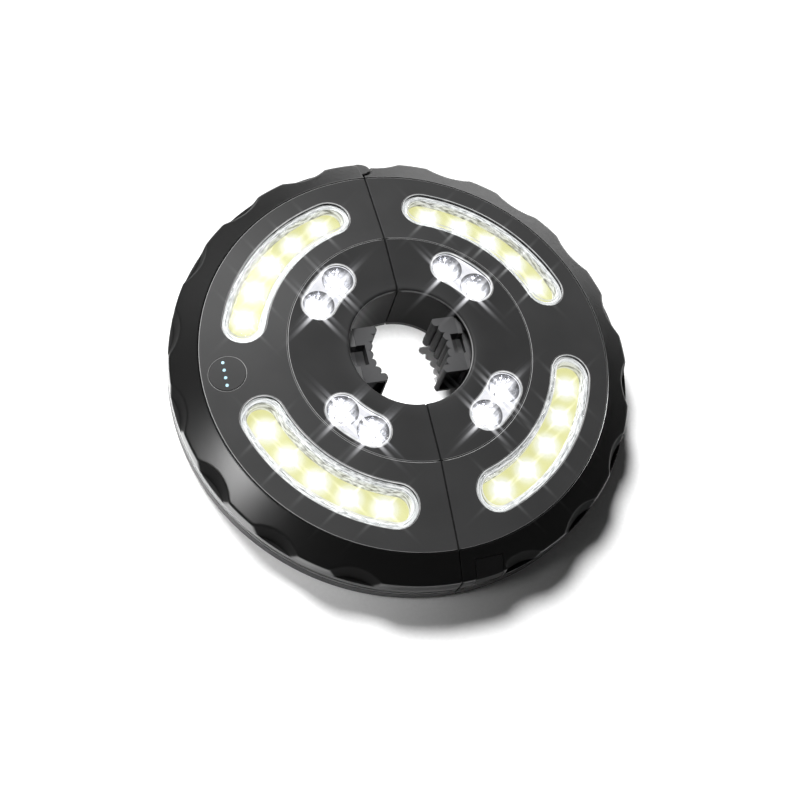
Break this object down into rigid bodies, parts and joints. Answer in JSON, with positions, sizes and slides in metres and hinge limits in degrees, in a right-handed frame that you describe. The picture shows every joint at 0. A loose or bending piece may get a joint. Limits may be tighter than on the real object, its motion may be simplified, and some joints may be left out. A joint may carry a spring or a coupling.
{
  "type": "patio umbrella light",
  "caption": "Round two-half umbrella light that hinges and latches round a pole, with sprung ribbed jaws, curved lamp windows, twin spots and a power button.",
  "frame": {"origin": "on the pole axis, in the plane of the flat back of the light", "axes": "+Z along the pole axis towards the lit face, +Y along the split line towards the hinge, +X towards the half with the release button"},
  "size_m": [0.2, 0.2, 0.0319],
  "materials": {
    "face_grey": "fine matt texture",
    "disc_grey": "fine matt texture",
    "rim_black": "gloss",
    "back_black": "matt",
    "sleeve_black": "satin",
    "jaw_rubber": "matt, finely ribbed",
    "slide_nylon": "matt",
    "guide_plastic": "matt",
    "spring_steel": "drawn wire",
    "cell_foil": "foil",
    "screw_steel": "blackened",
    "window_clear": "clear moulded plastic",
    "tray_white": "gloss",
    "strip_white": "solder mask",
    "spot_clear": "clear moulded plastic",
    "cup_silver": "faceted mirror",
    "board_white": "solder mask",
    "pin_steel": "ground",
    "latch_black": "satin",
    "striker_nylon": "matt",
    "bracket_plastic": "matt",
    "button_black": "satin",
    "guide_clear": "frosted",
    "board_green": "solder mask",
    "switch_black": "satin",
    "socket_metal": "stamped",
    "cover_rubber": "matt"
  },
  "bodies": {
    "left_half": {"left_face_ring": "face_grey", "left_centre_plate": "disc_grey", "left_rim_frame": "rim_black", "left_back_cover": "back_black", "left_bore_sleeve": "sleeve_black", "left_jaw_guide": "guide_plastic", "left_jaw_springs": "spring_steel", "left_battery_cell": "cell_foil", "left_case_screws": "screw_steel", "upper_left_lamp_window": "window_clear", "upper_left_lamp_reflector": "tray_white", "upper_left_led_strip": "strip_white", "upper_left_spot_lens": "spot_clear", "upper_left_spot_reflector": "cup_silver", "upper_left_spot_board": "board_white", "lower_left_lamp_window": "window_clear", "lower_left_lamp_reflector": "tray_white", "lower_left_led_strip": "strip_white", "lower_left_spot_lens": "spot_clear", "lower_left_spot_reflector": "cup_silver", "lower_left_spot_board": "board_white", "hinge_pin": "pin_steel", "latch_striker": "striker_nylon", "control_board": "board_green", "power_switch": "switch_black", "charge_socket": "socket_metal"},
    "right_half": {"right_face_ring": "face_grey", "right_centre_plate": "disc_grey", "right_rim_frame": "rim_black", "right_back_cover": "back_black", "right_bore_sleeve": "sleeve_black", "right_jaw_guide": "guide_plastic", "right_jaw_springs": "spring_steel", "right_battery_cell": "cell_foil", "right_case_screws": "screw_steel", "upper_right_lamp_window": "window_clear", "upper_right_lamp_reflector": "tray_white", "upper_right_led_strip": "strip_white", "upper_right_spot_lens": "spot_clear", "upper_right_spot_reflector": "cup_silver", "upper_right_spot_board": "board_white", "lower_right_lamp_window": "window_clear", "lower_right_lamp_reflector": "tray_white", "lower_right_led_strip": "strip_white", "lower_right_spot_lens": "spot_clear", "lower_right_spot_reflector": "cup_silver", "lower_right_spot_board": "board_white", "latch_spring": "spring_steel", "latch_bracket": "bracket_plastic"},
    "left_jaw": {"left_jaw_pad": "jaw_rubber", "left_jaw_slide": "slide_nylon"},
    "right_jaw": {"right_jaw_pad": "jaw_rubber", "right_jaw_slide": "slide_nylon"},
    "power_button": {"power_button": "button_black", "indicator_light_guides": "guide_clear"},
    "release_button": {"latch_button": "latch_black"},
    "charge_flap": {"charge_port_cover": "cover_rubber"}
  },
  "joints": [
    {"name": "half_hinge", "type": "hinge", "parent": "left_half", "child": "right_half", "pos_m": [0, 0.0952, 0.008], "axis": [0, 0, 1], "range_deg": [0, 60]},
    {"name": "left_jaw_slide", "type": "slide", "parent": "left_half", "child": "left_jaw", "axis": [-1, 0, 0], "range_m": [0, 0.008], "stiffness_N_per_m": 400, "springref_m": -0.006, "deforming": ["left_jaw_springs"]},
    {"name": "right_jaw_slide", "type": "slide", "parent": "right_half", "child": "right_jaw", "axis": [1, 0, 0], "range_m": [0, 0.008], "stiffness_N_per_m": 400, "springref_m": -0.006, "deforming": ["right_jaw_springs"]},
    {"name": "power_button_press", "type": "slide", "parent": "left_half", "child": "power_button", "axis": [0, 0, -1], "range_m": [0, 0.0008], "stiffness_N_per_m": 1200, "springref_m": -0.0008},
    {"name": "release_button_press", "type": "slide", "parent": "right_half", "child": "release_button", "axis": [0, 0.742, -0.6704], "range_m": [0, 0.002], "stiffness_N_per_m": 900, "springref_m": -0.002, "deforming": ["latch_spring"]},
    {"name": "charge_flap_hinge", "type": "hinge", "parent": "left_half", "child": "charge_flap", "pos_m": [-0.06948, 0.07116, 0.011], "axis": [0, 0, 1], "range_deg": [0, 90]}
  ]
}
